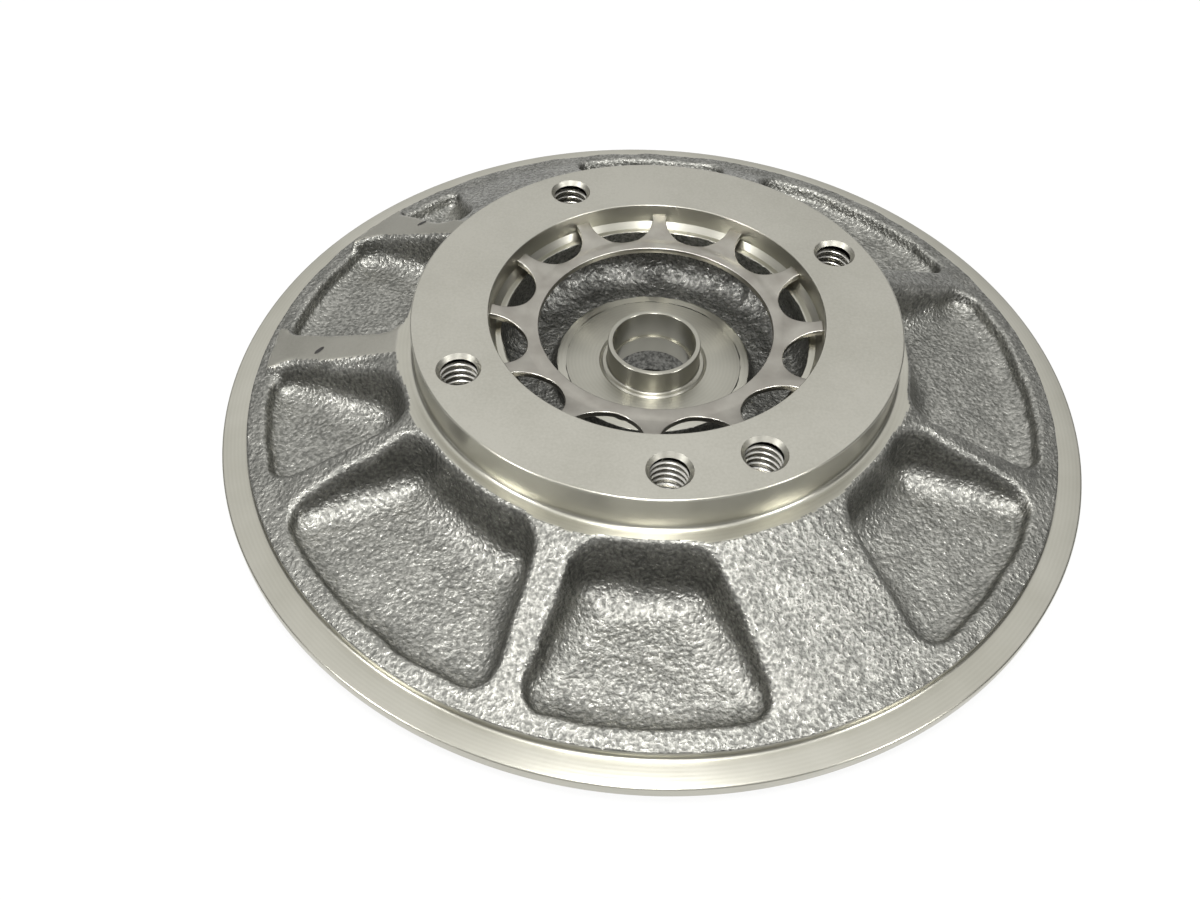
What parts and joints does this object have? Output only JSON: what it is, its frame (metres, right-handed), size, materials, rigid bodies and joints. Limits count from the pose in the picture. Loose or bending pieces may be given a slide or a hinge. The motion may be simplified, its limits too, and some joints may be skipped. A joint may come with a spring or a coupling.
{
  "type": "turbo backplate",
  "caption": "Cast iron backplate for a turbocharger compressor: a ribbed disc with a raised bolt flange, a central seal tube and a spring star ring in the flange bore.",
  "frame": {"origin": "on the shaft's axis, in the flat face that the plate rests on", "axes": "+Z along the shaft's axis towards the bolt flange; -Y is the side nearest the camera in the picture"},
  "size_m": [0.17, 0.17, 0.0276],
  "materials": {
    "casting": "sand cast and shot blasted, with turned satin faces on the rim, flange, bore and hub",
    "spring_steel": "stamped strip with rounded edges"
  },
  "bodies": {
    "root": {"backplate_casting": "casting", "star_ring": "spring_steel"}
  },
  "joints": []
}
